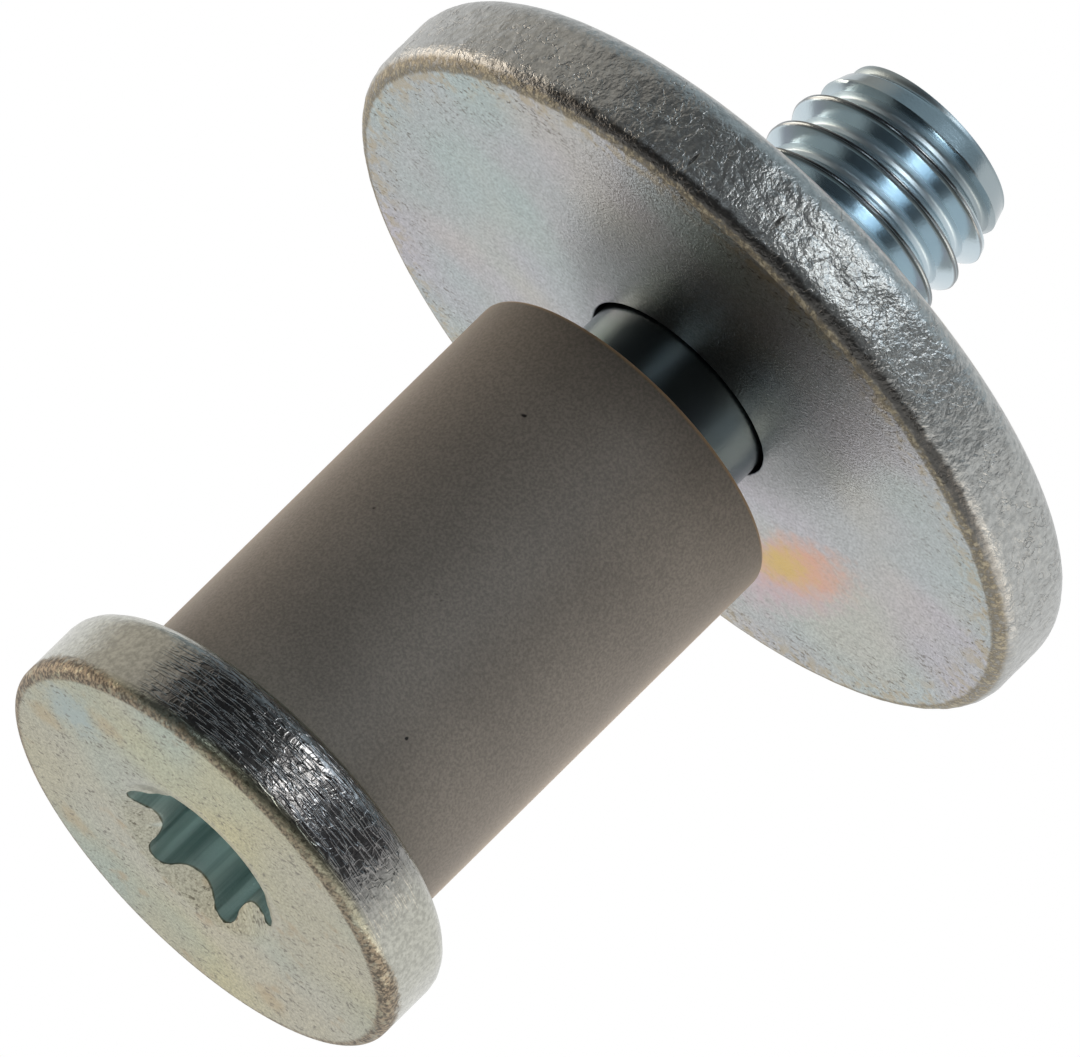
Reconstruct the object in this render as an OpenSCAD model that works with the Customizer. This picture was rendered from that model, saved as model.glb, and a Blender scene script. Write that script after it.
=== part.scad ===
// Door striker bolt: a headed shoulder bolt with a turning plastic sleeve and a captive washer.
// Units are millimetres. The bolt stands on its head: z = 0 is the head's flat outer face,
// and +Z runs along the bolt's axis to the threaded tip.

/* [Head] */
// Diameter of the round head
head_d = 23.2; // [20:0.1:26]
// Thickness of the head
head_t = 4.6; // [4:0.1:8]
// Rounding of the head's outer edge
head_front_r = 0.6; // [0.3:0.1:2]
// Rounding of the head's edge on the sleeve side
head_back_r = 1.2; // [0.2:0.1:1.6]

/* [Drive recess] */
// Diameter across the tips of the recess's six lobes
drive_lobe_d = 9.05; // [8.6:0.05:9.2]
// Diameter between the recess's six flutes
drive_flute_d = 6.45; // [6.2:0.05:6.6]
// Radius of each lobe's tip
drive_tip_r = 0.78; // [0.7:0.01:0.85]
// Depth of the recess
drive_depth = 4.6; // [4.2:0.1:6]
// Diameter of the countersink that opens the recess's mouth
drive_mouth_d = 9.4; // [9.2:0.1:10.6]
// Included angle of the countersink
drive_mouth_angle = 120; // [100:5:130]
// Diameter of the shallow cone at the bottom of the recess
drive_point_d = 5.6; // [4:0.1:6]
// Height of the shallow cone at the bottom of the recess
drive_point = 1; // [0.5:0.1:2]

/* [Shank and neck] */
// Diameter of the plain shank under the sleeve
shank_d = 12.7; // [12:0.1:13.5]
// How far the shank stands out past the sleeve
shank_out = 0.4; // [0.2:0.1:0.8]
// Chamfer on the shoulder where the shank ends
shoulder_chamfer = 0.3; // [0.1:0.1:0.5]
// Diameter of the neck, which is the blank that the thread is rolled on
neck_d = 10.1; // [9.6:0.05:10.2]

/* [Thread] */
// Outside diameter of the thread
thread_d = 11; // [10.8:0.01:11.2]
// Pitch of the thread
thread_pitch = 1.814; // [1.5:0.001:2]
// Length of the thread
thread_len = 12.3; // [9:0.1:30]
// Angle around the axis at which the thread's groove begins
thread_start = 178; // [0:1:359]
// Flat on top of the thread's crests, as a share of the pitch
crest_share = 0.14; // [0.12:0.01:0.18]
// Flat at the bottom of the thread's roots, as a share of the pitch
root_share = 0.18; // [0.15:0.01:0.22]
// Length of the tapered point that leads the thread in
point_len = 2.6; // [1.5:0.1:3.5]
// Diameter of the flat end of the point
point_d = 9.3; // [8.6:0.1:9.8]

/* [Sleeve] */
// Outside diameter of the plastic sleeve
sleeve_d = 17.5; // [16:0.1:19]
// Length of the sleeve
sleeve_len = 24.2; // [18:0.1:40]
// Radial running clearance between the sleeve and the shank
sleeve_clearance = 0.09; // [0.05:0.01:0.1]
// End play between the sleeve and the head
sleeve_play = 0.2; // [0.15:0.05:0.4]
// Rounding of the sleeve's outer edges
sleeve_edge_r = 0.3; // [0.1:0.05:0.5]

/* [Washer] */
// Diameter of the washer
washer_d = 40.3; // [32:0.1:44]
// Thickness of the washer
washer_t = 4.9; // [3:0.1:6]
// Rounding of the washer's outer edge on the sleeve side
washer_front_r = 1.1; // [0.4:0.1:1.3]
// Rounding of the washer's outer edge on the thread side, where the blanking die rolled it over
washer_back_r = 1.5; // [0.4:0.1:1.6]
// Radial clearance between the washer's hole and the neck
washer_clearance = 0.2; // [0.15:0.01:0.25]
// Rounding of the hole's edge on the thread side, where the punch went in
washer_roll_r = 0.5; // [0.4:0.1:0.8]
// Free travel of the washer along the neck, from the thread to the shoulder
washer_travel = 3.3; // [1:0.1:4]
// Gap between the washer and the thread
washer_gap = 0.1; // [0.05:0.05:0.3]

/* [Hidden] */
// Smoothness of round surfaces
$fn = 96;
// Overlap that keeps cutting shapes clear of the surfaces they cut
eps = 0.05;
// Straight steps that make up one turn of the thread's groove
groove_steps = 32;
// Angle between the thread's flanks and a plane across the axis
flank_angle = 30;
// Turns over which the groove rises out of the bolt at its inner end
groove_fade_turns = 1;
// Count of lobes in the drive recess
lobes = 6;
// Straight steps in each of the recess's arcs
arc_steps = 6;

// Heights along the axis
sleeve_z = head_t + sleeve_play;
shoulder_z = sleeve_z + sleeve_len + shank_out;
washer_z = shoulder_z + washer_travel;
thread_z = washer_z + washer_t + washer_gap;
tip_z = thread_z + thread_len;

// Radii
shank_r = shank_d / 2;
neck_r = neck_d / 2;
thread_r = thread_d / 2;
sleeve_bore_r = shank_r + sleeve_clearance;
washer_hole_r = neck_r + washer_clearance;

// Thread profile
crest_w = thread_pitch * crest_share;
root_w = thread_pitch * root_share;
groove_w = thread_pitch - crest_w;
groove_depth = (groove_w - root_w) / 2 / tan(flank_angle);

// Drive recess: the flute arcs are sized so that they run smoothly into the lobe arcs
lobe_at = drive_lobe_d / 2 - drive_tip_r;
half_step = 180 / lobes;
flute_r = (lobe_at ^ 2 + drive_flute_d ^ 2 / 4 - lobe_at * drive_flute_d * cos(half_step) - drive_tip_r ^ 2)
    / (2 * drive_tip_r + 2 * lobe_at * cos(half_step) - drive_flute_d);
flute_at = drive_flute_d / 2 + flute_r;
lobe_turn = atan2(flute_at * sin(half_step), flute_at * cos(half_step) - lobe_at);
// How much wider the countersink gets for each millimetre of height
mouth_slope = tan(drive_mouth_angle / 2);

// Half section of a ring or disc: both outer edges are rounded, and so is the inner edge at the top
module ring_section(inner, outer, z_low, z_high, low_r, high_r, roll_r = 0) {
    polygon([
        [inner, z_low],
        [outer - low_r, z_low],
        [outer, z_low + low_r],
        [outer, z_high - high_r],
        [outer - high_r, z_high],
        [inner + roll_r, z_high],
        [inner, z_high - roll_r]
    ]);
    translate([outer - low_r, z_low + low_r]) circle(low_r);
    translate([outer - high_r, z_high - high_r]) circle(high_r);
    if (roll_r > 0) translate([inner + roll_r, z_high - roll_r]) circle(roll_r);
}

// Points along a circular arc, without its last point
function arc(centre, r, from, to) = [
    for (i = [0 : arc_steps - 1])
        let (angle = from + (to - from) * i / arc_steps)
        centre + r * [cos(angle), sin(angle)]
];

// Outline of one lobe and the flute after it, with the lobe's tip at the given angle
function lobe_points(at) = concat(
    arc(lobe_at * [cos(at), sin(at)], drive_tip_r, at - lobe_turn, at + lobe_turn),
    arc(flute_at * [cos(at + half_step), sin(at + half_step)], flute_r,
        at + 180 + lobe_turn, at + 180 + 2 * half_step - lobe_turn)
);

// The recess as a solid to cut: the countersunk mouth, the lobed hole and the shallow cone at its bottom
module drive_recess() {
    translate([0, 0, -eps])
        cylinder(h = drive_mouth_d / 2 / mouth_slope + eps, d1 = drive_mouth_d + 2 * eps * mouth_slope, d2 = 0);
    translate([0, 0, -eps]) linear_extrude(drive_depth + eps)
        polygon([for (i = [0 : lobes - 1]) each lobe_points(360 / lobes * i)]);
    translate([0, 0, drive_depth - eps]) cylinder(h = drive_point + eps, d1 = drive_point_d, d2 = 0);
}

// The helical groove between the thread's crests, as one solid to cut
module thread_groove() {
    over = crest_w / 4;
    count = ceil((thread_len / thread_pitch + 0.5) * groove_steps);
    function section(i) =
        let (
            angle = thread_start + 360 * i / groove_steps,
            z = thread_z + thread_pitch * (i / groove_steps + 0.5),
            deep = groove_depth * min(1, i / groove_steps / groove_fade_turns),
            floor_half = root_w / 2,
            mouth_half = floor_half + (deep + over) * tan(flank_angle),
            r_in = thread_r - deep,
            r_out = thread_r + over
        )
        [for (p = [[r_in, -floor_half], [r_in, floor_half], [r_out, mouth_half], [r_out, -mouth_half]])
            [p.x * cos(angle), p.x * sin(angle), z + p.y]];
    points = [for (i = [0 : count]) each section(i)];
    corners = len(section(0));
    sides = [for (i = [0 : count - 1]) for (k = [0 : corners - 1])
        let (a = corners * i + k, b = corners * i + (k + 1) % corners)
        each [[a, b + corners, b], [a, a + corners, b + corners]]];
    last = corners * count;
    ends = [[0, 1, 2], [0, 2, 3], [last, last + 2, last + 1], [last, last + 3, last + 2]];
    polyhedron(points, concat(sides, ends), convexity = 10);
}

// Half section of the bolt from the head's underside to the tip, before the thread is cut
module shank_section() {
    polygon([
        [0, head_t / 2],
        [shank_r, head_t / 2],
        [shank_r, shoulder_z - shoulder_chamfer],
        [shank_r - shoulder_chamfer, shoulder_z],
        [neck_r, shoulder_z],
        [neck_r, thread_z],
        [thread_r, thread_z + (thread_r - neck_r) * tan(flank_angle)],
        [thread_r, tip_z - point_len],
        [point_d / 2, tip_z],
        [0, tip_z]
    ]);
}

module striker_bolt() {
    color([0.76, 0.78, 0.77])
    difference() {
        rotate_extrude() {
            ring_section(0, head_d / 2, 0, head_t, head_front_r, head_back_r);
            shank_section();
        }
        drive_recess();
        thread_groove();
    }
}

module sleeve() {
    color([0.36, 0.34, 0.32])
    rotate_extrude()
        ring_section(sleeve_bore_r, sleeve_d / 2, sleeve_z, sleeve_z + sleeve_len, sleeve_edge_r, sleeve_edge_r);
}

module washer() {
    color([0.80, 0.81, 0.78])
    rotate_extrude()
        ring_section(washer_hole_r, washer_d / 2, washer_z, washer_z + washer_t,
            washer_front_r, washer_back_r, washer_roll_r);
}

striker_bolt();
sleeve();
washer();
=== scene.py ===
"""Door striker bolt: a zinc-plated bolt with a turning plastic sleeve and a captive washer."""

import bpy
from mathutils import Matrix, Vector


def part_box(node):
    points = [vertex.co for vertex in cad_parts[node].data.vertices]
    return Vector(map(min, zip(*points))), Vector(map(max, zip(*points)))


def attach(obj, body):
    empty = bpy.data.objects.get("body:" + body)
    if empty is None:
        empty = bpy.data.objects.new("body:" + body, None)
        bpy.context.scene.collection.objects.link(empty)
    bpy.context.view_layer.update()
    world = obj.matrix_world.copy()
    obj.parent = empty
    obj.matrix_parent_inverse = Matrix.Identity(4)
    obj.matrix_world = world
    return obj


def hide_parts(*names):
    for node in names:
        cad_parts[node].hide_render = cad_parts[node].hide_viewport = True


bl_info = {
    "name": "Door Striker Bolt",
    "version": (1, 0, 0),
    "blender": (4, 5, 0),
    "location": "View3D > Sidebar > Striker",
    "description": "Builds the striker bolt, its sleeve and its washer around the packed frame",
    "category": "Object",
}

import math

import bmesh
import bpy
from bpy.props import FloatProperty, FloatVectorProperty, PointerProperty
from mathutils import Matrix, Quaternion, Vector, noise

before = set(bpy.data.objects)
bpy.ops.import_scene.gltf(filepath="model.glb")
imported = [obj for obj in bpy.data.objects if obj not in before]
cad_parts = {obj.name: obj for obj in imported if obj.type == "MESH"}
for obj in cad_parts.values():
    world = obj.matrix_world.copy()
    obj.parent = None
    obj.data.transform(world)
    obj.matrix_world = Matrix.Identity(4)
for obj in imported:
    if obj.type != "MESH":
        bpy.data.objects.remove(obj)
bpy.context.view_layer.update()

MM = 0.001
BOLT_LOW, BOLT_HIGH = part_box("striker_bolt")
SLEEVE_LOW, SLEEVE_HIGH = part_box("sleeve")
WASHER_LOW, WASHER_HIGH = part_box("washer")

# Direction across the camera's view: the marks on the two rims, with their painted shade and painted
# reflections, change from the middle of the view to its sides
VIEW_ACROSS = (0.988, 0.156)
# Colour of the pale bloom on rubbed plastic
BLOOM_TINT = (1.0, 0.80, 0.62, 1.0)


# Property helpers

def srgb(red, green, blue):
    """A colour as it is read off a screen, 0 to 255, as the linear values that Blender takes."""
    def linear(value):
        share = value / 255
        return share / 12.92 if share <= 0.04045 else ((share + 0.055) / 1.055) ** 2.4
    return (linear(red), linear(green), linear(blue))


def length(name, description, default):
    """A size in metres."""
    return FloatProperty(name=name, description=description, default=default, min=0.0, unit="LENGTH",
                         precision=5)


def angle(name, description, degrees):
    """A turn, given in degrees and kept in radians."""
    return FloatProperty(name=name, description=description, default=math.radians(degrees), subtype="ANGLE")


def colour(name, description, default):
    """A linear colour."""
    return FloatVectorProperty(name=name, description=description, default=default, size=3, min=0.0, max=1.0,
                               subtype="COLOR")


def direction(name, description, default):
    """A way to look or to shine, from the object outwards."""
    return FloatVectorProperty(name=name, description=description, default=default, subtype="DIRECTION")


# Settings

class StrikerBoltSettings(bpy.types.PropertyGroup):
    """Sizes and colours of the bolt."""
    head_radius: length("Head radius", "Radius of the flat round head", BOLT_HIGH.x)
    head_height: length("Head height", "Thickness of the head", 4.6 * MM)
    front_rounding: length("Front rounding", "Rounding of the head's front edge", 0.6 * MM)
    back_rounding: length("Back rounding", "Rounding of the head's back edge", 1.2 * MM)
    lobe_reach: length("Lobe reach", "Distance from the axis to the tips of the recess's lobes", 4.525 * MM)
    flute_reach: length("Flute reach", "Distance from the axis to the flutes between the lobes", 3.225 * MM)
    lobe_radius: length("Lobe radius", "Rounding of each lobe's tip", 0.78 * MM)
    mouth_radius: length("Mouth radius", "Radius of the countersink that opens the recess", 4.7 * MM)
    mouth_angle: angle("Mouth angle", "Included angle of the countersink", 120.0)
    recess_depth: length("Recess depth", "Depth of the recess's straight walls", 4.6 * MM)
    recess_cone_radius: length("Recess cone radius", "Radius of the cone in the recess's floor", 2.8 * MM)
    recess_cone_depth: length("Recess cone depth", "Depth of the cone in the recess's floor", 1.0 * MM)
    lip_roughness: length("Lip roughness", "Height of the ragged marks along the recess's lip", 0.09 * MM)
    shank_radius: length("Shank radius", "Radius of the plain shank under the sleeve", 6.35 * MM)
    shoulder_height: length("Shoulder height", "Height at which the shank steps down to the neck", 29.38 * MM)
    shoulder_chamfer: length("Shoulder chamfer", "Chamfer of the shoulder's edge", 0.3 * MM)
    shoulder_fillet: length("Shoulder fillet", "Fillet between the shoulder and the neck", 0.12 * MM)
    neck_radius: length("Neck radius", "Radius of the neck that carries the washer", 5.05 * MM)
    thread_start: length("Thread start", "Height at which the thread begins", 37.7 * MM)
    thread_pitch: length("Thread pitch", "Rise of the thread in one turn", 1.814 * MM)
    crest_radius: length("Crest radius", "Radius over the thread's crests", 5.5 * MM)
    root_radius: length("Root radius", "Radius at the thread's root", 4.43 * MM)
    thread_phase: angle("Thread phase", "Turn of the thread about the axis", -2.0)
    tip_height: length("Tip height", "Height of the bolt's tip", BOLT_HIGH.z)
    point_length: length("Point length", "Length of the tapered point", 2.6 * MM)
    point_radius: length("Point radius", "Radius of the tip", 4.65 * MM)
    dish_depth: length("Dish depth", "Depth of the dished end of the tip", 0.38 * MM)
    zinc: colour("Zinc", "Colour of the plated head", srgb(163, 160, 136))
    blue_zinc: colour("Blue zinc", "Colour of the plated neck and thread", srgb(184, 200, 210))
    # Painted light: the recess's colour is lighter than the zinc, standing in for light that reaches into it
    recess_painted_light: colour("Recess tint", "Colour inside the recess", srgb(216, 230, 228))
    stain: colour("Edge stain", "Brown band along the head's front edge", srgb(160, 145, 122))


class SleeveSettings(bpy.types.PropertyGroup):
    """Sizes and colours of the sleeve."""
    radius: length("Radius", "Outer radius of the sleeve", SLEEVE_HIGH.x)
    bore_radius: length("Bore radius", "Radius of the bore that turns on the shank", 6.44 * MM)
    bottom: length("Bottom", "Height of the sleeve's end at the head", SLEEVE_LOW.z)
    top: length("Top", "Height of the sleeve's end at the shoulder", SLEEVE_HIGH.z)
    edge_rounding: length("Edge rounding", "Rounding of the sleeve's outer edges", 0.3 * MM)
    bore_bevel: length("Bore bevel", "Bevel at both ends of the bore", 0.15 * MM)
    plastic: colour("Plastic", "Colour of the moulded plastic", srgb(128, 121, 112))
    worn_edge: colour("Worn edge", "Colour of the sleeve's rubbed edges", srgb(188, 156, 116))


class WasherSettings(bpy.types.PropertyGroup):
    """Sizes and colours of the washer."""
    radius: length("Radius", "Outer radius of the washer", WASHER_HIGH.x)
    hole_radius: length("Hole radius", "Radius of the hole round the neck", 5.25 * MM)
    bottom: length("Bottom", "Height of the washer's front face", WASHER_LOW.z)
    top: length("Top", "Height of the washer's back face", WASHER_HIGH.z)
    front_rounding: length("Front rounding", "Rounding of the outer edge on the sleeve side", 1.1 * MM)
    back_rounding: length("Back rounding", "Rounding of the outer edge on the thread side", 1.5 * MM)
    hole_rounding: length("Hole rounding", "Rounding of the hole's edge where the punch went in", 0.5 * MM)
    hole_edge: length("Hole edge", "Rounding of the hole's edge on the sleeve side", 0.1 * MM)
    rim_roughness: length("Rim roughness", "Depth of the crumpled marks on the sheared rim", 0.12 * MM)
    zinc: colour("Zinc", "Colour of the plated faces", srgb(168, 171, 172))
    rim_zinc: colour("Rim zinc", "Colour of the plated rim", srgb(172, 174, 172))
    stain: colour("Edge stain", "Tan line along the front edge", srgb(176, 167, 144))


class StageSettings(bpy.types.PropertyGroup):
    """The camera, the floor and the light."""
    azimuth: angle("Azimuth", "Turn of the camera round the bolt's axis", 9.0)
    elevation: angle("Elevation", "Height of the camera above the horizon", -19.936)
    roll: angle("Roll", "Turn of the camera about its own line of sight", 45.5)
    distance: length("Distance", "Distance from the camera to its target", 2.0)
    target: FloatVectorProperty(name="Target", description="Point that the camera looks at", unit="LENGTH",
                                default=(0.13 * MM, 0.06 * MM, 23.18 * MM))
    lens: FloatProperty(name="Lens", description="Focal length in millimetres on a 36 mm sensor",
                        default=1455.5, unit="CAMERA")
    floor_radius: length("Floor radius", "Radius of the round floor", 0.35)
    floor_drop: length("Floor drop", "Distance of the floor below the head's face", 0.05 * MM)
    floor_shade: colour("Floor", "Colour of the floor", srgb(240, 240, 238))
    overhead: direction("Overhead", "Direction from the white table to the room", (-0.382, -0.890, 0.251))
    wall: direction("Wall", "Direction of the pale wall beside the table", (-0.94, 0.02, 0.34))
    card: direction("Card", "Direction of the white card beyond the thread", (0.0, 0.0, 1.0))
    window: direction("Window", "Direction of the small window by the camera", (-0.338, -0.879, -0.337))
    lamp_distance: length("Lamp distance", "Distance of each lamp from the middle of the bolt", 0.5)


# Node graphs

class Graph:
    """Adds nodes to one tree and links them, so that a finish or a shape reads as a list of steps."""

    def __init__(self, tree):
        self.tree = tree
        tree.nodes.clear()

    def feed(self, socket, value):
        """Links another node's output to a socket, or sets a plain value on it."""
        if isinstance(value, bpy.types.NodeSocket):
            self.tree.links.new(value, socket)
        else:
            socket.default_value = value

    def node(self, kind, inputs=None, **settings):
        """A new node, with its inputs by name or number and its settings."""
        made = self.tree.nodes.new(kind)
        for name, value in settings.items():
            setattr(made, name, value)
        for key, value in (inputs or {}).items():
            self.feed(made.inputs[key], value)
        return made

    def math(self, operation, *values):
        """The result of one sum on numbers, by Blender's name for it."""
        return self.node("ShaderNodeMath", dict(enumerate(values)), operation=operation).outputs[0]

    def plus(self, first, second):
        return self.math("ADD", first, second)

    def minus(self, first, second):
        return self.math("SUBTRACT", first, second)

    def times(self, first, second):
        return self.math("MULTIPLY", first, second)

    def vector(self, operation, *values, scale=None):
        """The result of one sum on vectors, by Blender's name for it."""
        made = self.node("ShaderNodeVectorMath", dict(enumerate(values)), operation=operation)
        if scale is not None:
            self.feed(made.inputs["Scale"], scale)
        return made.outputs["Value" if operation in ("DOT_PRODUCT", "LENGTH") else "Vector"]

    def split(self, vector):
        return self.node("ShaderNodeSeparateXYZ", {0: vector}).outputs

    def join(self, x, y, z):
        return self.node("ShaderNodeCombineXYZ", {0: x, 1: y, 2: z}).outputs[0]

    def cylinder(self, place):
        """A place's distance from the Z axis, and its height."""
        x, y, z = self.split(place)
        return self.vector("LENGTH", self.join(x, y, 0.0)), z

    def fade(self, value, start, end, low=0.0, high=1.0):
        """A smooth step from low to high as value goes from start to end."""
        made = self.node("ShaderNodeMapRange", {0: value, 1: start, 2: end, 3: low, 4: high},
                         interpolation_type="SMOOTHSTEP")
        return made.outputs[0]

    def band(self, value, low, high, soft):
        """One between low and high, and zero outside, with soft ends."""
        rise = self.fade(value, low - soft, low + soft)
        return self.times(rise, self.fade(value, high + soft, high - soft))

    def noise(self, vector, scale, detail, roughness, seed):
        """Soft lumps of about 0 to 1, of which scale fit in one unit of length."""
        made = self.node("ShaderNodeTexNoise", {"Vector": vector, "Scale": scale, "Detail": detail,
                                                "Roughness": roughness, "W": seed}, noise_dimensions="4D")
        return made.outputs[0]

    def ramp(self, value, stops):
        """A colour that eases from stop to stop as value rises."""
        made = self.node("ShaderNodeValToRGB", {0: value})
        made.color_ramp.interpolation = "EASE"
        points = made.color_ramp.elements
        while len(points) < len(stops):
            points.new(0.5)
        for point, (place, tint) in zip(points, stops):
            point.position = place
            point.color = (*tint, 1.0)
        return made.outputs[0]

    def mix(self, factor, first, second, blend="MIX"):
        """A colour that goes from first to second with factor."""
        made = self.node("ShaderNodeMix", data_type="RGBA", blend_type=blend)
        self.feed(made.inputs[0], factor)
        for socket, value in ((made.inputs[6], first), (made.inputs[7], second)):
            self.feed(socket, value if isinstance(value, bpy.types.NodeSocket) else (*value, 1.0))
        return made.outputs[2]

    def blend(self, factor, first, second):
        """A number that goes from first to second with factor."""
        return self.node("ShaderNodeMix", {0: factor, 2: first, 3: second}, data_type="FLOAT").outputs[0]


# Finishes

def new_finish(name):
    """A material with an empty tree, and the graph that fills it."""
    finish = bpy.data.materials.new(name)
    finish.use_nodes = True
    return finish, Graph(finish.node_tree)


def surface_places(graph):
    """Position in millimetres, with its distance from the axis and its height."""
    coordinates = graph.node("ShaderNodeTexCoord").outputs["Object"]
    place = graph.vector("SCALE", coordinates, scale=1 / MM)
    return place, *graph.cylinder(place)


def sideways(graph, place, radius):
    """How far a place on a rim lies to either side of the middle of the camera's view, from 0 in its middle
    to 1.
    """
    x, y = VIEW_ACROSS
    return graph.math("ABSOLUTE", graph.vector("DOT_PRODUCT", place, (x / radius, y / radius, 0.0)))


def close_finish(graph, tint, roughness, height, metallic, specular=0.5, bloom=0.0):
    """Ends a finish in one shader, with a bump whose height is in millimetres and a bloom at its edges."""
    bump = graph.node("ShaderNodeBump", {"Strength": 1.0, "Distance": MM, "Height": height})
    shader = graph.node("ShaderNodeBsdfPrincipled", {
        "Base Color": tint, "Roughness": roughness, "Metallic": metallic, "Specular IOR Level": specular,
        "Sheen Weight": bloom, "Sheen Roughness": 0.3, "Sheen Tint": BLOOM_TINT, "Normal": bump.outputs[0]})
    graph.node("ShaderNodeOutputMaterial", {"Surface": shader.outputs[0]})


def zinc_plate(graph, place, base, clouds):
    """Zinc under clear passivate: faint colours in wide soft clouds, over a fine light and dark grain."""
    tint = base
    for number, cloud in enumerate(clouds):
        spread = graph.noise(place, 0.11, 1.5, 0.5, seed=20.0 + 7.0 * number)
        tint = graph.mix(graph.fade(spread, 0.42, 0.68, 0.0, 0.6), tint, cloud)
    grain = graph.noise(place, 9.5, 1.0, 0.6, seed=7.0)
    return graph.mix(1.0, tint, graph.fade(grain, 0.28, 0.72, 0.74, 1.2), "MULTIPLY")


def dark_dashes(graph, place, tint, where, stain):
    """Short dark scratches and pits, which show most where the mask is full."""
    slant = graph.node("ShaderNodeVectorRotate", {"Vector": place, "Angle": 0.5}, rotation_type="Z_AXIS")
    stretched = graph.vector("MULTIPLY", slant.outputs[0], (1.0, 1.8, 1.3))
    marks = graph.noise(stretched, 2.8, 2.0, 0.65, seed=9.0)
    clusters = graph.noise(place, 0.55, 2.0, 0.6, seed=15.0)
    depth = graph.plus(marks, graph.times(graph.minus(clusters, 0.5), 0.25))
    return graph.mix(graph.times(graph.fade(depth, 0.57, 0.66), where), tint, stain)


def creases(graph, place, scale, detail, seed):
    """Relief of crumpled skin, as a height of 0 along sharp creases and up to about 1 between them."""
    folds = graph.noise(place, scale, detail, 0.6, seed=seed)
    return graph.times(graph.math("ABSOLUTE", graph.minus(folds, 0.5)), 4.0)


def ridges(graph, place, scale, detail, seed, width):
    """Relief of thin raised lines, as a height of 1 along each line and 0 between them."""
    folds = graph.noise(place, scale, detail, 0.6, seed=seed)
    return graph.fade(graph.math("ABSOLUTE", graph.minus(folds, 0.5)), width, 0.0)


def dent(graph, place, centre, reach):
    """One inside an egg-shaped space round one point, and zero outside it."""
    apart = graph.vector("DIVIDE", graph.vector("SUBTRACT", place, centre), reach)
    return graph.fade(graph.vector("LENGTH", apart), 1.0, 0.7)


def blot(graph, tint, place, centre, reach, stain, strength):
    """A soft-edged patch of colour round one point, with a ragged outline, used for stains and for a painted
    reflection.
    """
    x, y = centre
    apart = graph.vector("SUBTRACT", place, (x, y, 0.0))
    apart = graph.vector("MULTIPLY", apart, (1 / reach[0], 1 / reach[1], 0.0))
    ragged = graph.times(graph.noise(place, 1.3, 3.0, 0.65, seed=x), 1.2)
    away = graph.plus(graph.vector("LENGTH", apart), ragged)
    return graph.mix(graph.fade(away, 1.6, 0.8, 0.0, strength), tint, stain)


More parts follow.
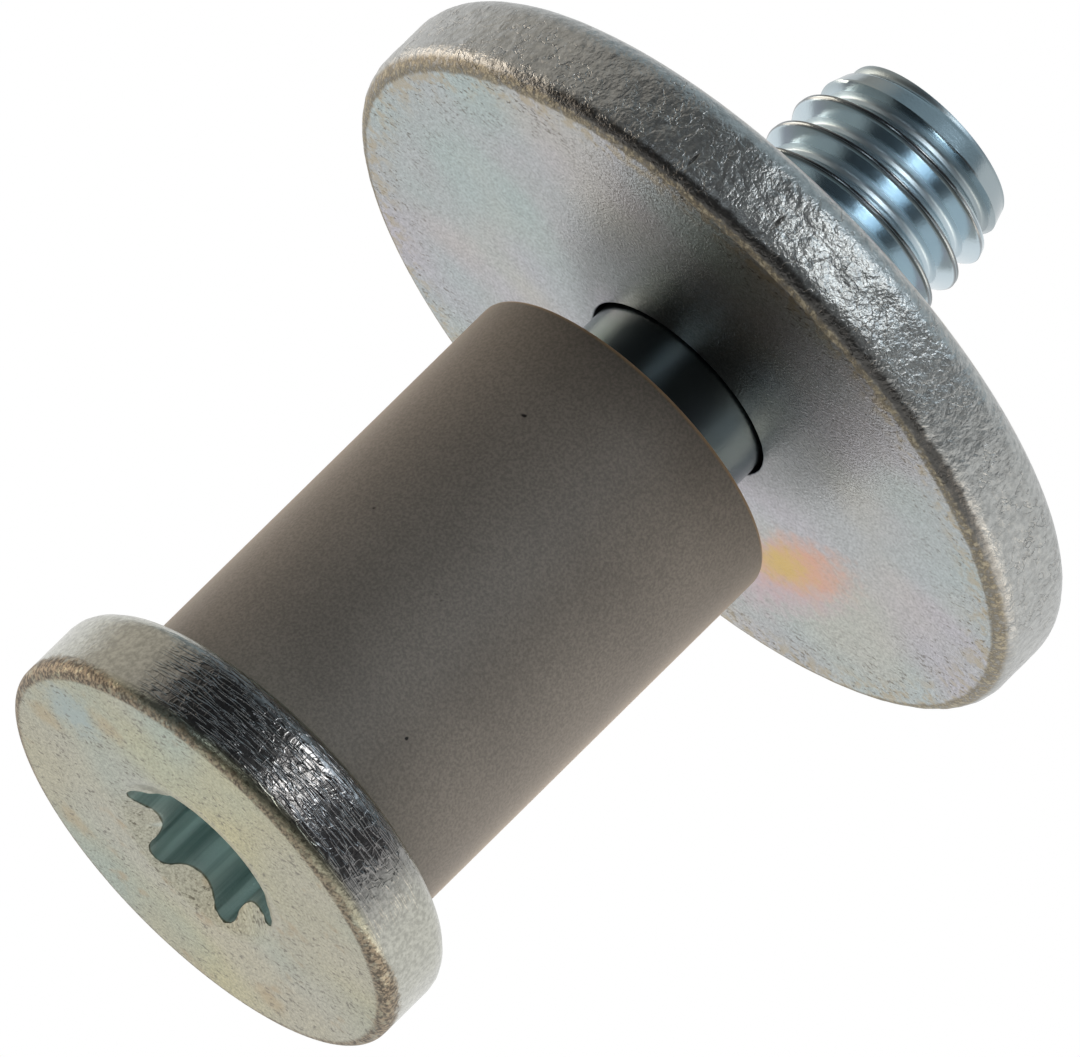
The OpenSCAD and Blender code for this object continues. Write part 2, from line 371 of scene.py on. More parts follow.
def bolt_finish(size):
    """Satin zinc on the head, wrinkled bright zinc on its rim, blue zinc on the neck and the thread."""
    finish, graph = new_finish("bolt_zinc")
    place, radius, height = surface_places(graph)
    head_radius, head_height = size.head_radius / MM, size.head_height / MM
    front, crest_radius = size.front_rounding / MM, size.crest_radius / MM
    mouth_radius, thread_start = size.mouth_radius / MM, size.thread_start / MM
    tip_height = size.tip_height / MM
    side = sideways(graph, place, head_radius)
    past_head = graph.fade(height, head_height + 1.0, head_height + 2.0)
    on_rim = graph.times(graph.fade(radius, head_radius - 0.7, head_radius - 0.2),
                         graph.fade(height, 0.5 * front, 1.5 * front))
    # The face: clouds, dashes and brown stains
    clouds = (srgb(184, 175, 128), srgb(148, 166, 160), srgb(172, 167, 154))
    tint = zinc_plate(graph, place, size.zinc, clouds)
    for centre in ((-6.5, -5.0), (-9.7, -0.6), (-6.5, 7.2), (5.8, 7.3)):
        tint = blot(graph, tint, place, centre, (1.5, 1.2), srgb(168, 146, 106), 0.5)
    tint = blot(graph, tint, place, (-8.6, -3.4), (2.4, 2.6), srgb(146, 164, 166), 0.7)
    tint = dark_dashes(graph, place, tint, 0.7, srgb(84, 78, 66))
    spots = graph.noise(place, 0.42, 3.0, 0.6, seed=16.0)
    tint = graph.mix(graph.fade(spots, 0.58, 0.72, 0.0, 0.6), tint, srgb(160, 138, 104))
    # The rim: painted shade in the middle of the view and a painted pale reflection at its sides, under a
    # pebbled grain
    rim = graph.mix(graph.fade(side, 0.8, 0.45), srgb(182, 182, 172), srgb(132, 131, 130))
    pebbles = graph.noise(place, 4.0, 2.0, 0.65, seed=27.0)
    rim = graph.mix(1.0, rim, graph.fade(pebbles, 0.3, 0.7, 0.76, 1.14), "MULTIPLY")
    tint = graph.mix(on_rim, tint, rim)
    # The front edge: a granular brown band
    ragged = graph.noise(place, 2.4, 4.0, 0.7, seed=11.0)
    thin = graph.fade(side, 0.95, 0.6, 0.0, 0.75)
    wander = graph.plus(graph.plus(height, thin), graph.times(graph.minus(ragged, 0.5), 1.5))
    edge = graph.times(graph.fade(wander, 1.1, 0.8),
                       graph.fade(radius, head_radius - 0.7, head_radius - 0.45))
    edge = graph.times(edge, graph.fade(ragged, 0.36, 0.52, 0.35, 1.0))
    crumbs = graph.fade(graph.noise(place, 5.0, 2.0, 0.6, seed=17.0), 0.42, 0.6)
    tint = graph.mix(edge, tint, graph.mix(crumbs, srgb(90, 81, 68), size.stain))
    # The recess, with streaks along its walls below the countersink
    cone = graph.math("DIVIDE", graph.minus(mouth_radius, radius), math.tan(size.mouth_angle / 2))
    in_recess = graph.times(graph.fade(radius, mouth_radius + 0.02, mouth_radius - 0.02),
                            graph.fade(graph.minus(height, cone), 0.02, 0.12))
    # The recess, painted lighter than the zinc as painted light, with streaks along its walls below the
    # countersink
    streaks = graph.noise(graph.vector("MULTIPLY", place, (2.6, 2.6, 0.1)), 1.0, 3.0, 0.6, seed=2.0)
    recess = graph.mix(graph.fade(streaks, 0.38, 0.62), srgb(186, 204, 202), size.recess_painted_light)
    tint = graph.mix(in_recess, tint, recess)
    # The neck and the thread: blue zinc, painted dark on the neck as painted shade between the sleeve and the
    # washer, and duller on the point and the crests
    blue = graph.mix(graph.noise(place, 0.9, 2.0, 0.5, seed=5.0), size.blue_zinc, srgb(196, 212, 218))
    # Painted shade: the neck is painted dark
    on_neck = graph.fade(height, thread_start + 0.2, thread_start, 0.0, 0.95)
    blue = graph.mix(on_neck, blue, srgb(100, 110, 113))
    on_point = graph.fade(height, tip_height - 2.2, tip_height - 1.4, 0.0, 0.65)
    blue = graph.mix(on_point, blue, srgb(126, 136, 138))
    tint = graph.mix(past_head, tint, blue)
    on_crest = graph.times(graph.fade(radius, crest_radius - 0.12, crest_radius - 0.03), past_head)
    on_crest = graph.times(on_crest, graph.fade(radius, crest_radius + 0.4, crest_radius + 0.2, 0.0, 0.8))
    tint = graph.mix(on_crest, tint, srgb(96, 95, 94))
    # Relief: wrinkles drawn round the rim, shallow dents, and a fine grain on the faces
    drawn = graph.vector("MULTIPLY", place, (0.28, 0.28, 2.4))
    crossed = graph.vector("MULTIPLY", place, (1.6, 1.6, 1.0))
    wrinkles = graph.plus(ridges(graph, drawn, 2.0, 1.0, 4.0, 0.08),
                          graph.times(ridges(graph, crossed, 1.2, 1.0, 22.0, 0.05), 0.2))
    wrinkles = graph.times(wrinkles, graph.fade(side, 0.76, 0.5, 0.002, 0.03))
    dents = graph.times(graph.noise(place, 0.7, 2.0, 0.5, seed=18.0), 0.07)
    grain = graph.noise(place, 7.5, 2.0, 0.6, seed=3.0)
    grain_depth = graph.blend(on_rim, 0.022, graph.fade(side, 0.6, 0.9, 0.006, 0.02))
    grain_depth = graph.blend(past_head, grain_depth, 0.006)
    relief = graph.plus(graph.times(graph.plus(wrinkles, dents), on_rim), graph.times(grain, grain_depth))
    roughness = 0.32
    for mask, value in ((on_rim, 0.22), (past_head, 0.19), (edge, 0.55), (in_recess, 0.4)):
        roughness = graph.blend(mask, roughness, value)
    close_finish(graph, tint, roughness, relief, graph.blend(edge, 1.0, 0.4))
    return finish


def sleeve_finish(size):
    """Warm grey moulded plastic with a dull skin, fine grain, a few dark specks and rubbed edges."""
    finish, graph = new_finish("sleeve_plastic")
    place, radius, height = surface_places(graph)
    low, high, outside = size.bottom / MM, size.top / MM, size.radius / MM
    cloud = graph.noise(place, 0.2, 2.0, 0.5, seed=1.0)
    grain = graph.noise(place, 7.0, 2.0, 0.65, seed=6.0)
    shade = graph.times(graph.fade(cloud, 0.35, 0.65, 0.94, 1.05), graph.fade(grain, 0.3, 0.7, 0.8, 1.2))
    tint = graph.mix(1.0, size.plastic, shade, "MULTIPLY")
    specks = graph.fade(graph.noise(place, 0.8, 2.0, 0.5, seed=8.0), 0.745, 0.765)
    tint = graph.mix(specks, tint, srgb(26, 24, 23))
    # The rubbed edges at both ends
    rubbed = graph.math("MAXIMUM", graph.fade(height, low + 0.3, low + 0.1),
                        graph.fade(height, high - 0.3, high - 0.1))
    rubbed = graph.times(rubbed, graph.fade(radius, outside - 0.5, outside - 0.2, 0.0, 0.85))
    tint = graph.mix(rubbed, tint, size.worn_edge)
    # Relief: the grain, and faint lines along the tube
    drawn = graph.noise(graph.vector("MULTIPLY", place, (2.0, 2.0, 0.1)), 1.0, 3.0, 0.6, seed=5.0)
    relief = graph.plus(graph.times(grain, 0.008), graph.times(drawn, 0.004))
    close_finish(graph, tint, graph.fade(cloud, 0.3, 0.7, 0.5, 0.56), relief, 0.0, specular=0.3, bloom=0.8)
    return finish


def washer_finish(size):
    """Satin zinc on the faces, bright crumpled zinc on the sheared rim, and one warm spot that is partly a
    painted reflection and partly iridescent colour.
    """
    finish, graph = new_finish("washer_zinc")
    place, radius, height = surface_places(graph)
    rim_radius, bottom = size.radius / MM, size.bottom / MM
    flat_radius = rim_radius - size.front_rounding / MM
    side = sideways(graph, place, rim_radius)
    on_rim = graph.fade(radius, flat_radius + 0.05, flat_radius + 0.6)
    on_front = graph.fade(height, bottom + 0.6, bottom + 0.3)
    clouds = (srgb(181, 172, 184), srgb(158, 178, 174), srgb(180, 176, 162))
    tint = zinc_plate(graph, place, size.zinc, clouds)
    # A warm spot by the sleeve, partly a painted reflection of the sleeve's warm side and partly the
    # chromate's iridescent colour: a pink halo, an orange flame and a yellow heart
    reflection_and_iridescence_axes = graph.join(graph.vector("DOT_PRODUCT", place, (0.44, -0.898, 0.0)),
                        graph.vector("DOT_PRODUCT", place, (0.898, 0.44, 0.0)), 0.0)
    for centre, reach, stain, strength in (((-4.6, 11.3), (8.0, 3.4), srgb(194, 162, 172), 0.6),
                                           ((-2.0, 10.8), (6.2, 2.7), srgb(208, 152, 122), 0.8),
                                           ((-3.4, 10.6), (3.6, 1.9), srgb(200, 170, 88), 0.9)):
        tint = blot(graph, tint, reflection_and_iridescence_axes, centre, reach, stain, graph.times(on_front, strength))
    # Dashes and tan stains that thicken toward the edge
    outward = graph.fade(radius, 0.68 * rim_radius, 0.94 * rim_radius, 0.15, 0.9)
    tint = dark_dashes(graph, place, tint, outward, srgb(84, 76, 60))
    ragged = graph.noise(place, 1.6, 4.0, 0.65, seed=12.0)
    tan = graph.times(graph.fade(radius, flat_radius - 2.0, flat_radius),
                      graph.fade(ragged, 0.46, 0.6, 0.0, 0.75))
    tint = graph.mix(tan, tint, srgb(166, 153, 126))
    # The rim: scaly zinc with a dark band along its front rounding, partly dirt and partly a painted dark
    # reflection, strongest in the middle of the view; cracks and two nicks
    scales = graph.noise(place, 3.2, 2.0, 0.6, seed=26.0)
    rim = graph.mix(1.0, size.rim_zinc, graph.fade(scales, 0.3, 0.7, 0.8, 1.1), "MULTIPLY")
    # Dirt and a painted dark reflection along the front rounding, strongest in the middle of the view
    dirt_and_dark_reflection = graph.band(graph.plus(height, graph.times(ragged, 0.6)), bottom + 0.4, bottom + 0.95, 0.15)
    dirt_and_dark_reflection = graph.times(dirt_and_dark_reflection, graph.fade(side, 0.92, 0.62, 0.12, 0.85))
    rim = graph.mix(dirt_and_dark_reflection, rim, srgb(48, 44, 40))
    cracked = graph.fade(graph.noise(place, 0.35, 1.0, 0.5, seed=24.0), 0.46, 0.6)
    cracks = graph.times(ridges(graph, place, 0.9, 3.0, 23.0, 0.02), cracked)
    rim = graph.mix(graph.times(cracks, 0.25), rim, srgb(70, 67, 63))
    nicks = graph.math("MAXIMUM", dent(graph, place, (-3.90, -19.77, 34.1), (0.1, 0.5, 0.5)),
                       dent(graph, place, (0.95, -20.12, 34.4), (0.12, 0.5, 0.55)))
    rim = graph.mix(graph.times(nicks, 0.8), rim, srgb(66, 64, 61))
    tint = graph.mix(on_rim, tint, rim)
    # The granular tan line where the face ends, which is broader at the sides
    wander = graph.plus(radius, graph.times(graph.minus(ragged, 0.5), 0.35))
    broad = graph.fade(side, 0.55, 0.95, 0.38, 0.75)
    line = graph.times(graph.fade(wander, flat_radius + 0.12, flat_radius + 0.32),
                       graph.fade(graph.minus(wander, broad), flat_radius + 0.3, flat_radius + 0.1))
    crumbs = graph.noise(place, 4.5, 2.0, 0.6, seed=25.0)
    line = graph.times(graph.times(line, on_front), graph.fade(crumbs, 0.34, 0.56, 0.4, 1.0))
    tint = graph.mix(line, tint, graph.mix(graph.fade(crumbs, 0.45, 0.65), srgb(112, 103, 84), size.stain))
    # Relief: crumpled skin on the rim and a sandy grain on the faces
    crumple = graph.plus(graph.times(creases(graph, place, 1.1, 2.0, 13.0), 0.042),
                         graph.times(graph.noise(place, 0.6, 2.0, 0.5, seed=21.0), 0.16))
    crumple = graph.minus(crumple, graph.times(cracks, 0.03))
    crumple = graph.minus(crumple, graph.times(nicks, 0.1))
    grain = graph.noise(place, 7.5, 2.0, 0.65, seed=14.0)
    grain_depth = graph.blend(on_rim, 0.045, 0.04)
    relief = graph.plus(graph.times(crumple, on_rim), graph.times(grain, grain_depth))
    roughness = graph.blend(line, graph.blend(on_rim, 0.3, 0.32), 0.55)
    metallic = graph.blend(line, graph.blend(on_rim, 1.0, 0.88), 0.5)
    close_finish(graph, tint, roughness, relief, metallic)
    return finish


# Meshes

def ring(radius, height, columns):
    """Points evenly round the axis."""
    return [Vector((radius * math.cos(turn), radius * math.sin(turn), height))
            for turn in (math.tau * step / columns for step in range(columns))]


def corner(centre_radius, centre_height, rounding, start, end, steps):
    """Profile points along a rounded edge, from one angle to another in degrees."""
    turns = [math.radians(start + (end - start) * step / steps) for step in range(steps + 1)]
    return [(centre_radius + rounding * math.cos(turn), centre_height + rounding * math.sin(turn))
            for turn in turns]


def turned(profile, columns):
    """A ring of points for each radius and height in a profile."""
    return [ring(radius, height, columns) for radius, height in profile]


def along(first, last, steps):
    """Profile points on a straight line, without its two ends."""
    return [tuple(a + (b - a) * step / steps for a, b in zip(first, last)) for step in range(1, steps)]


def skin(bm, rings, closed=False):
    """Joins rings of points with faces. One point is a pole, and a fine ring may meet a coarse one."""
    made = [[bm.verts.new(point) for point in points] for points in rings]
    if closed:
        made.append(made[0])
    for first, second in zip(made, made[1:]):
        fine, coarse = (first, second) if len(first) >= len(second) else (second, first)
        ratio = len(fine) // len(coarse)
        for step in range(len(coarse)):
            span = [fine[(step * ratio + part) % len(fine)] for part in range(ratio + 1)]
            if len(coarse) == 1:
                for near, far in zip(fine, fine[1:] + fine[:1]):
                    bm.faces.new((near, far, coarse[0]))
            else:
                bm.faces.new((*span, coarse[(step + 1) % len(coarse)], coarse[step]))


def lobe_outline(size, columns):
    """Points round the six-lobe recess: each lobe's arc runs smoothly into the flute's arc after it."""
    lobes = 6
    half_step = math.pi / lobes
    lobe_at = size.lobe_reach - size.lobe_radius
    flute_radius = (lobe_at ** 2 + size.flute_reach ** 2 - size.lobe_radius ** 2
                    - 2 * lobe_at * size.flute_reach * math.cos(half_step))
    flute_radius /= 2 * (size.lobe_radius + lobe_at * math.cos(half_step) - size.flute_reach)
    flute_at = size.flute_reach + flute_radius
    lobe_turn = math.atan2(flute_at * math.sin(half_step), flute_at * math.cos(half_step) - lobe_at)
    steps = columns // lobes // 2
    points = []
    for lobe in range(lobes):
        tip = 2 * half_step * lobe
        arcs = ((lobe_at, tip, size.lobe_radius, tip - lobe_turn, tip + lobe_turn),
                (flute_at, tip + half_step, flute_radius, tip + math.pi + lobe_turn,
                 tip + math.pi + 2 * half_step - lobe_turn))
        for reach, turn, radius, start, end in arcs:
            centre = Vector((math.cos(turn), math.sin(turn), 0)) * reach
            for step in range(steps):
                at = start + (end - start) * step / steps
                points.append(centre + radius * Vector((math.cos(at), math.sin(at), 0)))
    shift = steps // 2
    return points[shift:] + points[:shift]


def new_object(name, data):
    """An object in the scene, at the origin."""
    made = bpy.data.objects.new(name, data)
    bpy.context.scene.collection.objects.link(made)
    return made


def mesh_from(bm, name):
    """A plain mesh of what was built, which is then freed."""
    mesh = bpy.data.meshes.new(name)
    bm.to_mesh(mesh)
    bm.free()
    return mesh


def finish_mesh(piece, sharp_degrees):
    """Turns the faces outwards, then shades the piece smooth with its sharp edges kept."""
    if not piece.data.polygons:
        raise RuntimeError(f"{piece.name} has no faces")
    bm = bmesh.new()
    bm.from_mesh(piece.data)
    bmesh.ops.recalc_face_normals(bm, faces=bm.faces)
    bm.to_mesh(piece.data)
    bm.free()
    piece.data.shade_smooth()
    piece.data.set_sharp_from_angle(angle=math.radians(sharp_degrees))


def bake_nodes(piece, tree, values):
    """Runs a geometry tree on a piece with the given inputs, and leaves the result as its plain mesh."""
    modifier = piece.modifiers.new(tree.name, "NODES")
    modifier.node_group = tree
    for item in tree.interface.items_tree:
        if item.item_type == "SOCKET" and item.in_out == "INPUT" and item.name in values:
            modifier[item.identifier] = values[item.name]
    bpy.context.view_layer.update()
    evaluated = piece.evaluated_get(bpy.context.evaluated_depsgraph_get())
    mesh = bpy.data.meshes.new_from_object(evaluated)
    piece.modifiers.remove(modifier)
    old = piece.data
    piece.data = mesh
    mesh.name = piece.name
    bpy.data.meshes.remove(old)


def new_shape_tree(name, numbers, counts=()):
    """A geometry tree with one geometry in and out, and inputs for numbers, counts and a material."""
    tree = bpy.data.node_groups.new(name, "GeometryNodeTree")
    inputs = [("Geometry", "NodeSocketGeometry")]
    inputs += [(label, "NodeSocketFloat") for label in numbers]
    inputs += [(label, "NodeSocketInt") for label in counts]
    inputs += [("Material", "NodeSocketMaterial")]
    for label, kind in inputs:
        tree.interface.new_socket(label, in_out="INPUT", socket_type=kind)
    tree.interface.new_socket("Geometry", in_out="OUTPUT", socket_type="NodeSocketGeometry")
    graph = Graph(tree)
    return tree, graph, graph.node("NodeGroupInput").outputs


def close_shape(graph, geometry, material):
    """Ends a geometry tree with real geometry that carries the material."""
    real = graph.node("GeometryNodeRealizeInstances", {0: geometry}).outputs[0]
    dressed = graph.node("GeometryNodeSetMaterial", {"Geometry": real, "Material": material}).outputs[0]
    graph.node("NodeGroupOutput", {0: dressed})


def rolled_thread_tree():
    """Adds a rolled thread to the turned blank: a sheet of rows that climb one pitch in each turn."""
    numbers = ("Pitch", "Start", "Length", "Neck Radius", "Root Radius", "Crest Radius", "Point Length",
               "Point Radius", "Phase")
    tree, graph, given = new_shape_tree("rolled_thread", numbers, ("Columns", "Rows per Pitch"))
    turns = graph.plus(graph.math("CEIL", graph.math("DIVIDE", given["Length"], given["Pitch"])), 1.0)
    rows = graph.times(turns, given["Rows per Pitch"])
    sheet = graph.node("GeometryNodeMeshGrid", {
        "Size X": 1.0, "Size Y": 1.0, "Vertices X": graph.plus(given["Columns"], 1.0),
        "Vertices Y": graph.plus(rows, 1.0)})
    x, y, _ = graph.split(graph.node("GeometryNodeInputPosition").outputs[0])
    around = graph.plus(x, 0.5)
    row = graph.minus(graph.times(graph.plus(y, 0.5), turns), 1.0)
    climb = graph.times(graph.plus(row, around), given["Pitch"])
    height = graph.math("MAXIMUM", graph.math("MINIMUM", climb, given["Length"]), 0.0)
    # The rolled profile: a flat root, straight flanks and a crest with a fine seam
    phase = graph.math("DIVIDE", given["Phase"], math.tau)
    profile = graph.node("ShaderNodeFloatCurve", {"Value": graph.math("FRACT", graph.plus(row, phase))})
    curve = profile.mapping.curves[0]
    half = [(0.0, 0.0), (0.075, 0.0), (0.11, 0.05), (0.415, 0.93), (0.452, 1.0), (0.5, 0.92)]
    points = half + [(1 - place, rise) for place, rise in reversed(half[:-1])]
    while len(curve.points) < len(points):
        curve.points.new(0.5, 0.5)
    for point, (place, rise) in zip(curve.points, points):
        point.location = (place, rise)
        point.handle_type = "VECTOR"
    profile.mapping.update()
    depth = graph.minus(given["Crest Radius"], given["Root Radius"])
    radius = graph.plus(given["Root Radius"], graph.times(profile.outputs[0], depth))
    run_in = graph.times(given["Pitch"], 0.8)
    radius = graph.blend(graph.fade(height, 0.0, run_in), given["Neck Radius"], radius)
    # The tapered point, over which the thread runs out
    run_out = 0.7 * MM
    to_tip = graph.minus(given["Length"], height)
    narrowing = graph.minus(given["Crest Radius"], given["Point Radius"])
    slope = graph.math("DIVIDE", narrowing, given["Point Length"])
    cone = graph.plus(given["Point Radius"], graph.times(to_tip, slope))
    radius = graph.math("MINIMUM", radius, cone)
    radius = graph.blend(graph.fade(to_tip, run_out, 0.0), radius, cone)
    turn = graph.times(around, math.tau)
    place = graph.join(graph.times(radius, graph.math("COSINE", turn)),
                       graph.times(radius, graph.math("SINE", turn)), graph.plus(given["Start"], height))
    wound = graph.node("GeometryNodeSetPosition", {"Geometry": sheet.outputs["Mesh"], "Position": place})
    # The sheet is welded to the neck and to the end of the tip
    weld = 0.002 * MM
    both = graph.node("GeometryNodeJoinGeometry")
    for part in (given["Geometry"], wound.outputs[0]):
        graph.tree.links.new(part, both.inputs[0])
    welded = graph.node("GeometryNodeMergeByDistance", {"Geometry": both.outputs[0], "Distance": weld})
    close_shape(graph, welded.outputs[0], given["Material"])
    return tree


def sheared_rim_tree():
    """Crumples a disc's rim along its normals, as shearing and tumbling leave it."""
    numbers = ("Rim Radius", "Rim Width", "Roughness", "Grain", "Seed")
    tree, graph, given = new_shape_tree("sheared_rim", numbers)
    place = graph.node("GeometryNodeInputPosition").outputs[0]
    radius, _ = graph.cylinder(place)
    inner = graph.minus(given["Rim Radius"], given["Rim Width"])
    mask = graph.fade(radius, inner, given["Rim Radius"])
    broad = graph.noise(place, given["Grain"], 3.0, 0.55, seed=given["Seed"])
    # The level that stays in place lies above the middle, so that more is pressed in than out
    level = 0.6
    offset = graph.times(graph.minus(broad, level), given["Roughness"])
    normal = graph.node("GeometryNodeInputNormal").outputs[0]
    push = graph.vector("SCALE", normal, scale=graph.times(offset, mask))
    rough = graph.node("GeometryNodeSetPosition", {"Geometry": given["Geometry"], "Offset": push})
    close_shape(graph, rough.outputs[0], given["Material"])
    return tree


# Pieces

class STRIKER_OT_bolt(bpy.types.Operator):
    """Build the bolt: head with its six-lobe recess, shank, neck and rolled thread"""
    bl_idname = "striker.bolt"
    bl_label = "Striker Bolt"

    # Points round the head and round the shank, and rows of points in one turn of the thread
    fine = 480
    coarse = 160
    thread_rows = 28
    # Steps up the recess's wall, which ends a little short of its lip, and across the head's face
    wall_steps = 10
    wall_share = 0.97
    face_steps = 10
    # Steps out along the countersink, and the width of the ragged marks along the lip
    countersink_parts = (0.02, 0.06, 0.12, 0.22, 0.4, 0.6, 0.8, 0.93, 1.0)
    mark_width = 0.35 * MM

    def head_rings(self, size):
        """Rings from the bottom of the recess, over the head's face and rim, to the shank."""
        fine = self.fine
        outline = lobe_outline(size, fine)
        floor = size.recess_depth
        rings = [[Vector((0, 0, floor + size.recess_cone_depth))], ring(size.recess_cone_radius, floor, fine)]
        slope = math.tan(size.mouth_angle / 2)
        marks = [size.lip_roughness * noise.noise(point / self.mark_width) for point in outline]
        lips = [(size.mouth_radius - point.length) / slope + mark for point, mark in zip(outline, marks)]
        for step in range(self.wall_steps + 1):
            heights = [floor + (lip - floor) * step / self.wall_steps * self.wall_share for lip in lips]
            rings.append([point + Vector((0, 0, height)) for point, height in zip(outline, heights)])
        for part in self.countersink_parts:
            spread = [point * (1 + part * (size.mouth_radius / point.length - 1)) for point in outline]
            rings.append([point + Vector((0, 0, lip * (1 - part))) for point, lip in zip(spread, lips)])
        flat = ring(size.head_radius - size.front_rounding, 0.0, fine)
        mouth = rings[-1]
        for step in range(1, self.face_steps + 1):
            rings.append([a.lerp(b, step / self.face_steps) for a, b in zip(mouth, flat)])
        front, back = size.front_rounding, size.back_rounding
        profile = corner(size.head_radius - front, front, front, -90, 0, 10)[1:]
        top = corner(size.head_radius - back, size.head_height - back, back, 0, 90, 5)
        profile += along(profile[-1], top[0], 22) + top
        profile += along(top[-1], (size.shank_radius, size.head_height), 4)
        return rings + turned(profile, fine)

    def shank_rings(self, size):
        """Rings from under the head to the start of the thread."""
        chamfer, fillet = size.shoulder_chamfer, size.shoulder_fillet
        profile = [(size.shank_radius, size.head_height)]
        profile += along(profile[0], (size.shank_radius, size.shoulder_height - chamfer), 12)
        profile += [(size.shank_radius, size.shoulder_height - chamfer),
                    (size.shank_radius - chamfer, size.shoulder_height),
                    (size.neck_radius + fillet, size.shoulder_height),
                    (size.neck_radius + 0.3 * fillet, size.shoulder_height + 0.3 * fillet),
                    (size.neck_radius, size.shoulder_height + fillet)]
        profile += along(profile[-1], (size.neck_radius, size.thread_start), 16)
        profile += [(size.neck_radius, size.thread_start)]
        return turned(profile, self.coarse)

    def tip_rings(self, size):
        """Rings over the dished end of the point, from shares of its radius and depths below the tip."""
        dish = ((1.0, 0.0), (0.93, 0.02 * MM), (0.6, 0.25 * MM), (0.25, 0.35 * MM))
        rings = [ring(part * size.point_radius, size.tip_height - depth, self.coarse) for part, depth in dish]
        return rings + [[Vector((0, 0, size.tip_height - size.dish_depth))]]

    def execute(self, context):
        size = context.scene.striker_bolt
        bm = bmesh.new()
        skin(bm, self.head_rings(size) + self.shank_rings(size))
        skin(bm, self.tip_rings(size))
        piece = new_object("bolt", mesh_from(bm, "bolt"))
        bake_nodes(piece, rolled_thread_tree(), {
            "Pitch": size.thread_pitch, "Start": size.thread_start,
            "Length": size.tip_height - size.thread_start, "Neck Radius": size.neck_radius,
            "Root Radius": size.root_radius, "Crest Radius": size.crest_radius,
            "Point Length": size.point_length, "Point Radius": size.point_radius, "Phase": size.thread_phase,
            "Columns": self.coarse, "Rows per Pitch": self.thread_rows, "Material": bolt_finish(size)})
        finish_mesh(piece, 40)
        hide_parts("striker_bolt")
        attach(piece, "bolt")
        return {"FINISHED"}


class STRIKER_OT_sleeve(bpy.types.Operator):
    """Build the plastic sleeve that turns on the shank"""
    bl_idname = "striker.sleeve"
    bl_label = "Sleeve"

    columns = 192

    def execute(self, context):
        size = context.scene.striker_sleeve
        edge, bevel = size.edge_rounding, size.bore_bevel
        low = corner(size.radius - edge, size.bottom + edge, edge, -90, 0, 6)
        high = corner(size.radius - edge, size.top - edge, edge, 0, 90, 6)
        inner = [(size.bore_radius + bevel, size.top), (size.bore_radius, size.top - bevel),
                 (size.bore_radius, size.bottom + bevel), (size.bore_radius + bevel, size.bottom)]
        profile = low + along(low[-1], high[0], 40) + high + inner
        bm = bmesh.new()
        skin(bm, turned(profile, self.columns), closed=True)
        piece = new_object("roller_sleeve", mesh_from(bm, "roller_sleeve"))
        piece.data.materials.append(sleeve_finish(size))
        finish_mesh(piece, 35)
        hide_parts("sleeve")
        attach(piece, "sleeve")
        return {"FINISHED"}


class STRIKER_OT_washer(bpy.types.Operator):
    """Build the thick stamped washer with its sheared rim"""
    bl_idname = "striker.washer"
    bl_label = "Washer"

    columns = 720
    # Lumps in a metre of the rim, and the place in the noise that they are taken from
    lumps = 0.9 / MM
    seed = 5.0

    def execute(self, context):
        size = context.scene.striker_washer
        front, back, roll, edge = size.front_rounding, size.back_rounding, size.hole_rounding, size.hole_edge
        low = corner(size.radius - front, size.bottom + front, front, -90, 0, 8)
        high = corner(size.radius - back, size.top - back, back, 0, 90, 8)
        hole = corner(size.hole_radius + roll, size.top - roll, roll, 90, 180, 6)
        lip = corner(size.hole_radius + edge, size.bottom + edge, edge, 180, 270, 4)
        profile = lip + along(lip[-1], low[0], 10) + low + along(low[-1], high[0], 16) + high
        profile += along(high[-1], hole[0], 10) + hole + along(hole[-1], lip[0], 8)
        bm = bmesh.new()
        skin(bm, turned(profile, self.columns), closed=True)
        # The rim is crumpled along its normals, so they point outwards first
        bmesh.ops.recalc_face_normals(bm, faces=bm.faces)
        piece = new_object("heavy_washer", mesh_from(bm, "heavy_washer"))
        bake_nodes(piece, sheared_rim_tree(), {
            "Rim Radius": size.radius, "Rim Width": front, "Roughness": size.rim_roughness,
            "Grain": self.lumps, "Seed": self.seed, "Material": washer_finish(size)})
        finish_mesh(piece, 50)
        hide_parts("washer")
        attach(piece, "washer")
        return {"FINISHED"}


# Stage

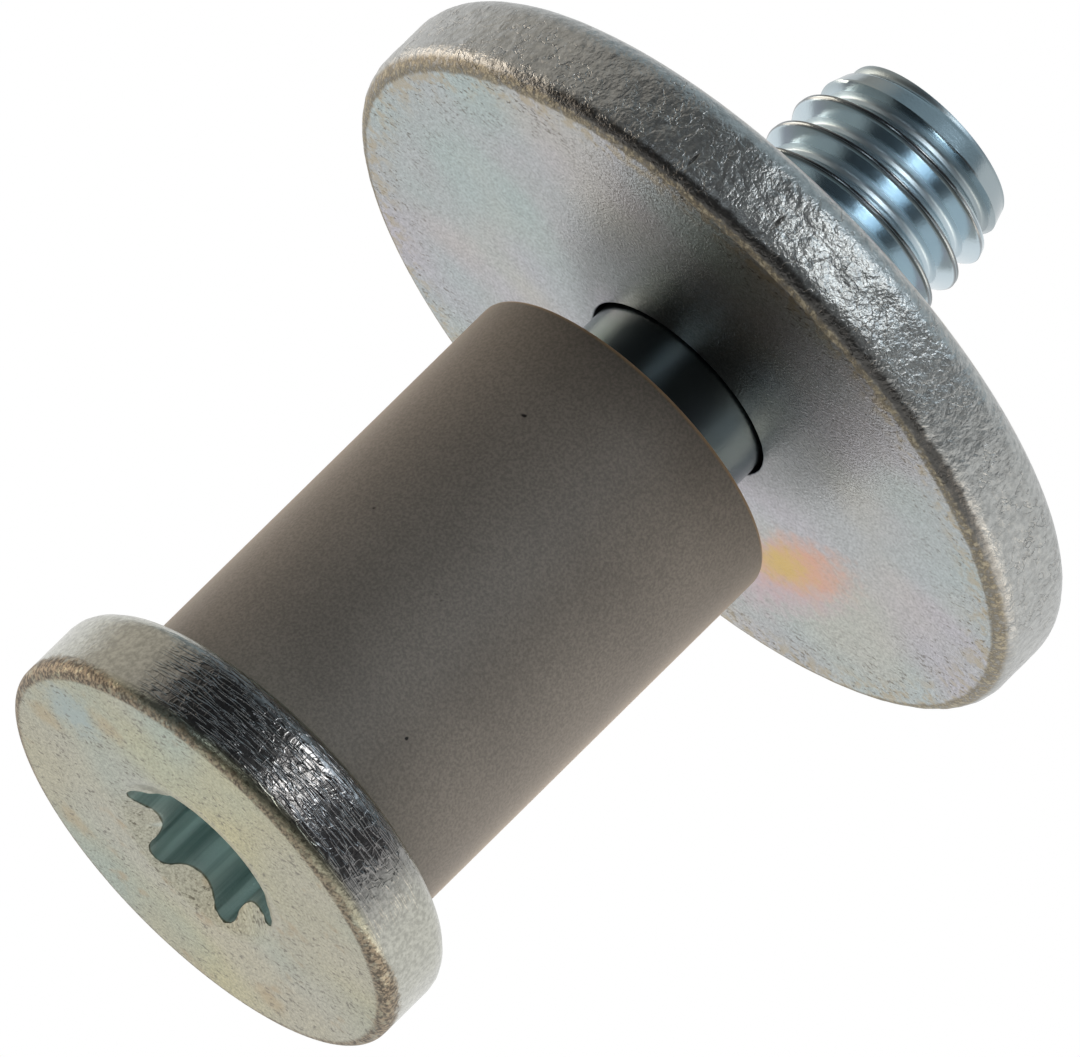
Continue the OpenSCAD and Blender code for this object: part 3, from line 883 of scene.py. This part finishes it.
class STRIKER_OT_stage(bpy.types.Operator):
    """Set the camera, the floor and the light"""
    bl_idname = "striker.stage"
    bl_label = "Stage"

    # Name, direction, width in metres, power in watts and colour of each lamp
    lamps = (
        ("key_lamp", (0.24, -0.87, 0.43), 0.13, 0.44, (1.0, 0.99, 0.98)),
        ("thread_lamp", (0.30, -0.70, 0.64), 0.24, 0.38, (0.74, 0.87, 1.0)),
        ("left_lamp", (-0.89, 0.34, -0.30), 0.3, 0.9, (1.0, 0.83, 0.66)),
        ("right_lamp", (0.91, 0.31, -0.27), 0.3, 0.45, (1.0, 0.83, 0.66)),
    )
    # Points round the floor, and the light that its paper adds of its own
    floor_columns = 64
    floor_glow = 0.35

    def camera(self, scene, size):
        """A camera on the given side of the object, turned about its own line of sight."""
        level = math.cos(size.elevation)
        back = Vector((math.sin(size.azimuth) * level, -math.cos(size.azimuth) * level,
                       math.sin(size.elevation)))
        lens = bpy.data.cameras.new("camera")
        lens.lens = size.lens
        lens.sensor_width = 36.0
        camera = new_object("camera", lens)
        turn = (-back).to_track_quat("-Z", "Y") @ Quaternion((0, 0, 1), size.roll)
        place = Vector(size.target) + back * size.distance
        camera.matrix_world = Matrix.Translation(place) @ turn.to_matrix().to_4x4()
        scene.camera = camera

    def floor(self, size):
        """A pale round floor that shows from above only, so that light reaches the head's face."""
        bm = bmesh.new()
        rim = ring(size.floor_radius, -size.floor_drop, self.floor_columns)
        bm.faces.new([bm.verts.new(point) for point in rim])
        floor = new_object("floor", mesh_from(bm, "floor"))
        finish, graph = new_finish("floor_paper")
        light = graph.node("ShaderNodeLightPath").outputs
        back = graph.node("ShaderNodeNewGeometry").outputs["Backfacing"]
        place = graph.node("ShaderNodeTexCoord").outputs["Object"]
        reach = graph.fade(graph.vector("LENGTH", place), size.floor_radius, 0.3 * size.floor_radius)
        shown = graph.times(graph.minus(1.0, back), light["Is Camera Ray"])
        paper = graph.node("ShaderNodeBsdfDiffuse", {"Color": (*size.floor_shade, 1.0)}).outputs[0]
        glow = graph.node("ShaderNodeEmission", {"Color": (1, 1, 1, 1), "Strength": self.floor_glow})
        lit = graph.node("ShaderNodeAddShader", {0: paper, 1: glow.outputs[0]}).outputs[0]
        clear = graph.node("ShaderNodeBsdfTransparent").outputs[0]
        mixed = graph.node("ShaderNodeMixShader", {0: graph.times(shown, reach), 1: clear, 2: lit})
        graph.node("ShaderNodeOutputMaterial", {"Surface": mixed.outputs[0]})
        floor.data.materials.append(finish)

    def surroundings(self, scene, size):
        """A white table on one side, a dim room on the other, and plain white behind the object."""
        world = bpy.data.worlds.new("surroundings")
        world.use_nodes = True
        scene.world = world
        graph = Graph(world.node_tree)
        light = graph.node("ShaderNodeLightPath").outputs
        outward = graph.vector("NORMALIZE", graph.node("ShaderNodeTexCoord").outputs["Generated"])
        rise = graph.vector("DOT_PRODUCT", outward, tuple(size.overhead))
        room = graph.ramp(rise, [(0.0, (0.13, 0.13, 0.13)), (0.3, (0.07, 0.072, 0.075)),
                                 (0.6, (0.035, 0.037, 0.04))])
        # Each bright area: its direction, the cosines where it begins and where it is full, and its colour
        for toward, begin, full, tint in ((size.wall, 0.78, 0.93, (0.62, 0.58, 0.53)),
                                          (size.card, 0.62, 0.86, (0.44, 0.54, 0.60)),
                                          (size.window, 0.990, 0.996, (2.2, 2.4, 2.6))):
            nearness = graph.vector("DOT_PRODUCT", outward, tuple(toward))
            room = graph.mix(graph.fade(nearness, begin, full), room, tint)
        paper = graph.blend(light["Is Glossy Ray"], 0.95, 1.0)
        sky = graph.mix(graph.fade(rise, 0.06, -0.08), room, graph.join(paper, paper, paper))
        lit = graph.node("ShaderNodeBackground", {"Color": sky, "Strength": 1.0}).outputs[0]
        white = graph.node("ShaderNodeBackground", {"Color": (1, 1, 1, 1), "Strength": 1.0}).outputs[0]
        seen = graph.math("MAXIMUM", light["Is Camera Ray"], light["Is Transmission Ray"])
        mixed = graph.node("ShaderNodeMixShader", {0: seen, 1: lit, 2: white})
        graph.node("ShaderNodeOutputWorld", {"Surface": mixed.outputs[0]})

    def lamp(self, distance, name, side, width, power, tint):
        """A soft square lamp that faces the middle of the bolt."""
        light = bpy.data.lights.new(name, "AREA")
        light.size = width
        light.energy = power
        light.color = tint
        lamp = new_object(name, light)
        toward = Vector(side).normalized()
        turn = (-toward).to_track_quat("-Z", "Y")
        place = (BOLT_LOW + BOLT_HIGH) / 2 + toward * distance
        lamp.matrix_world = Matrix.Translation(place) @ turn.to_matrix().to_4x4()

    def execute(self, context):
        scene = context.scene
        size = scene.striker_stage
        scene.view_settings.view_transform = "Standard"
        self.camera(scene, size)
        self.floor(size)
        self.surroundings(scene, size)
        for lamp in self.lamps:
            self.lamp(size.lamp_distance, *lamp)
        return {"FINISHED"}


class STRIKER_PT_panel(bpy.types.Panel):
    """Buttons and sizes in the sidebar"""
    bl_idname = "STRIKER_PT_panel"
    bl_label = "Door Striker Bolt"
    bl_space_type = "VIEW_3D"
    bl_region_type = "UI"
    bl_category = "Striker"

    def draw(self, context):
        for operator, group in zip(BUILDERS, GROUPS):
            box = self.layout.box()
            box.operator(operator.bl_idname)
            settings = getattr(context.scene, group)
            for name in type(settings).__annotations__:
                box.prop(settings, name)


BUILDERS = (STRIKER_OT_bolt, STRIKER_OT_sleeve, STRIKER_OT_washer, STRIKER_OT_stage)
GROUPS = {"striker_bolt": StrikerBoltSettings, "striker_sleeve": SleeveSettings,
          "striker_washer": WasherSettings, "striker_stage": StageSettings}


def register():
    for each in (*GROUPS.values(), *BUILDERS, STRIKER_PT_panel):
        bpy.utils.register_class(each)
    for name, group in GROUPS.items():
        setattr(bpy.types.Scene, name, PointerProperty(type=group))


def unregister():
    for name in GROUPS:
        delattr(bpy.types.Scene, name)
    for each in reversed((*GROUPS.values(), *BUILDERS, STRIKER_PT_panel)):
        bpy.utils.unregister_class(each)


def main():
    register()
    bpy.ops.striker.bolt()
    bpy.ops.striker.sleeve()
    bpy.ops.striker.washer()
    bpy.ops.striker.stage()


if __name__ == "__main__":
    main()
